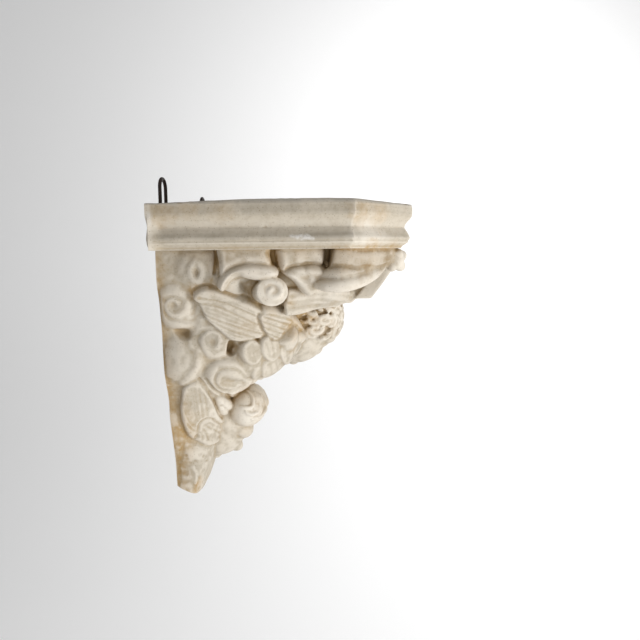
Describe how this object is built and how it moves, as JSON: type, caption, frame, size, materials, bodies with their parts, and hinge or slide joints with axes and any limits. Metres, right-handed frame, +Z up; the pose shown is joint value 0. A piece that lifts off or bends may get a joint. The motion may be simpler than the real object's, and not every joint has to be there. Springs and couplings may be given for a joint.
{
  "type": "plaster wall console",
  "caption": "Cast plaster wall console: canted moulded shelf on carved clouds with winged child heads, hung on wall loops.",
  "frame": {"origin": "on the flat back that lies against the wall, on the centre line, level with the underside of the shelf", "axes": "+X out of the wall, +Y along the wall, +Z up"},
  "size_m": [0.302, 0.365, 0.4057],
  "materials": {
    "plaster_console": "matt cast plaster, cream, with ochre grime in the hollows",
    "hanging_loop_left": "dark brown-black wrought iron wire",
    "hanging_loop_right": "dark brown-black wrought iron wire"
  },
  "bodies": {
    "root": {"plaster_console": "plaster_console", "hanging_loop_left": "hanging_loop_left", "hanging_loop_right": "hanging_loop_right"}
  },
  "joints": []
}
